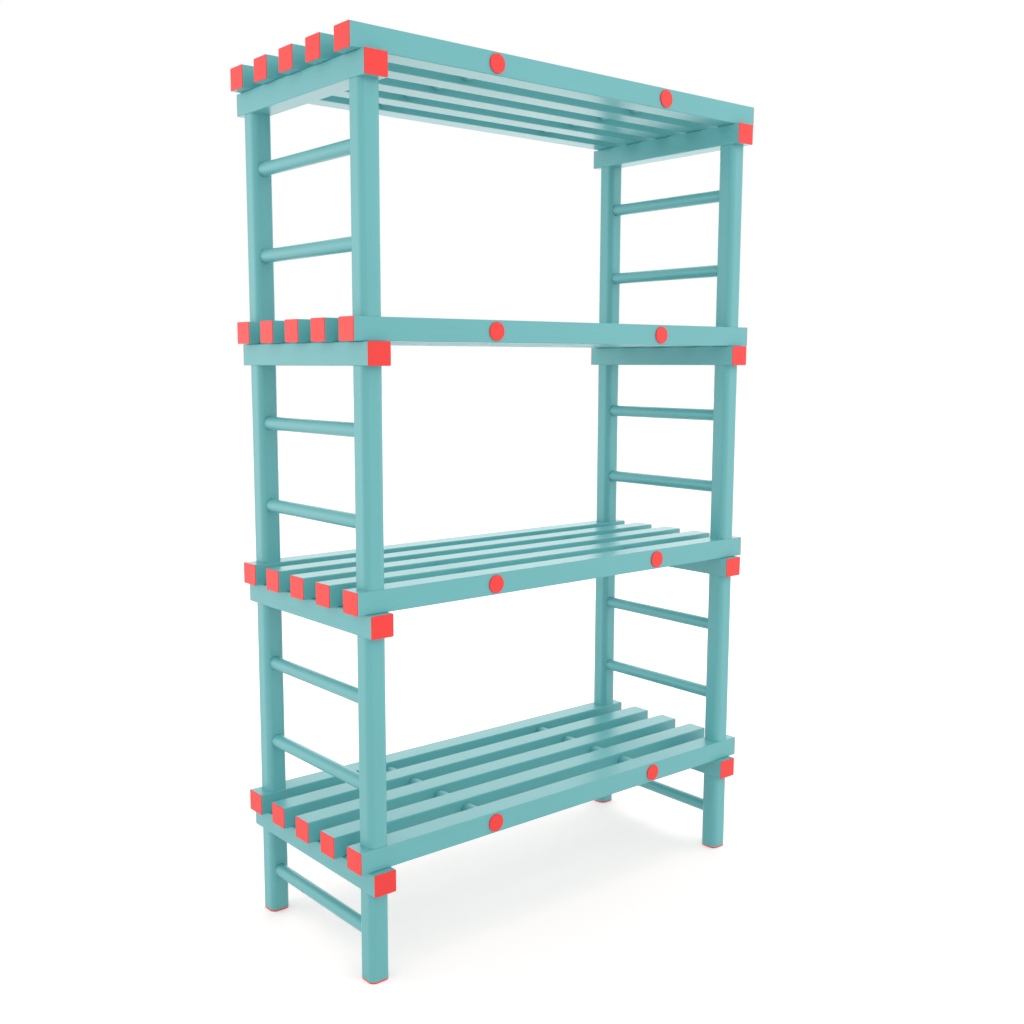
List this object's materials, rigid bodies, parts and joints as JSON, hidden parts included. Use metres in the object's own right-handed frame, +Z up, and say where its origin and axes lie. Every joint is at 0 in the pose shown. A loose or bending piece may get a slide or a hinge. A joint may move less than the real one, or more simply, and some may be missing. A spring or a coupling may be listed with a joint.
{
  "type": "slatted plastic shelving unit",
  "caption": "Free-standing slatted plastic shelving unit: decks of hollow bars with red end caps, stacked on legs and ladder-like side frames with round rungs.",
  "frame": {"origin": "on the floor under the middle of the unit", "axes": "+X along the decks to the right seen from the front, +Y from the front to the back, +Z up"},
  "size_m": [1, 0.424, 1.61],
  "materials": {
    "turquoise_plastic": "satin extruded plastic, turquoise",
    "red_plastic": "satin moulded plastic, coral red"
  },
  "bodies": {
    "base": {"leg_front_left": "turquoise_plastic", "leg_back_left": "turquoise_plastic", "leg_front_right": "turquoise_plastic", "leg_back_right": "turquoise_plastic", "leg_rungs": "turquoise_plastic", "leg_plugs": "turquoise_plastic", "feet": "red_plastic", "deck1_front_slat": "turquoise_plastic", "deck1_back_slat": "turquoise_plastic", "deck1_inner_slats": "turquoise_plastic", "deck1_left_beam": "turquoise_plastic", "deck1_right_beam": "turquoise_plastic", "deck1_tie_rods": "turquoise_plastic", "deck1_end_caps": "red_plastic", "deck1_rod_caps": "red_plastic"},
    "frames_1": {"frame1_post_front_left": "turquoise_plastic", "frame1_post_back_left": "turquoise_plastic", "frame1_post_front_right": "turquoise_plastic", "frame1_post_back_right": "turquoise_plastic", "frame1_rungs": "turquoise_plastic", "frame1_plugs": "turquoise_plastic"},
    "deck_2": {"deck2_front_slat": "turquoise_plastic", "deck2_back_slat": "turquoise_plastic", "deck2_inner_slats": "turquoise_plastic", "deck2_left_beam": "turquoise_plastic", "deck2_right_beam": "turquoise_plastic", "deck2_tie_rods": "turquoise_plastic", "deck2_end_caps": "red_plastic", "deck2_rod_caps": "red_plastic"},
    "frames_2": {"frame2_post_front_left": "turquoise_plastic", "frame2_post_back_left": "turquoise_plastic", "frame2_post_front_right": "turquoise_plastic", "frame2_post_back_right": "turquoise_plastic", "frame2_rungs": "turquoise_plastic", "frame2_plugs": "turquoise_plastic"},
    "deck_3": {"deck3_front_slat": "turquoise_plastic", "deck3_back_slat": "turquoise_plastic", "deck3_inner_slats": "turquoise_plastic", "deck3_left_beam": "turquoise_plastic", "deck3_right_beam": "turquoise_plastic", "deck3_tie_rods": "turquoise_plastic", "deck3_end_caps": "red_plastic", "deck3_rod_caps": "red_plastic"},
    "frames_3": {"frame3_post_front_left": "turquoise_plastic", "frame3_post_back_left": "turquoise_plastic", "frame3_post_front_right": "turquoise_plastic", "frame3_post_back_right": "turquoise_plastic", "frame3_rungs": "turquoise_plastic", "frame3_plugs": "turquoise_plastic"},
    "deck_4": {"deck4_front_slat": "turquoise_plastic", "deck4_back_slat": "turquoise_plastic", "deck4_inner_slats": "turquoise_plastic", "deck4_left_beam": "turquoise_plastic", "deck4_right_beam": "turquoise_plastic", "deck4_tie_rods": "turquoise_plastic", "deck4_end_caps": "red_plastic", "deck4_rod_caps": "red_plastic"}
  },
  "joints": [
    {"name": "frames_1_lift", "type": "slide", "parent": "base", "child": "frames_1", "axis": [0, 0, 1], "range_m": [0, 0.05]},
    {"name": "deck_2_lift", "type": "slide", "parent": "frames_1", "child": "deck_2", "axis": [0, 0, 1], "range_m": [0, 0.13]},
    {"name": "frames_2_lift", "type": "slide", "parent": "deck_2", "child": "frames_2", "axis": [0, 0, 1], "range_m": [0, 0.05]},
    {"name": "deck_3_lift", "type": "slide", "parent": "frames_2", "child": "deck_3", "axis": [0, 0, 1], "range_m": [0, 0.13]},
    {"name": "frames_3_lift", "type": "slide", "parent": "deck_3", "child": "frames_3", "axis": [0, 0, 1], "range_m": [0, 0.05]},
    {"name": "deck_4_lift", "type": "slide", "parent": "frames_3", "child": "deck_4", "axis": [0, 0, 1], "range_m": [0, 0.082]}
  ]
}
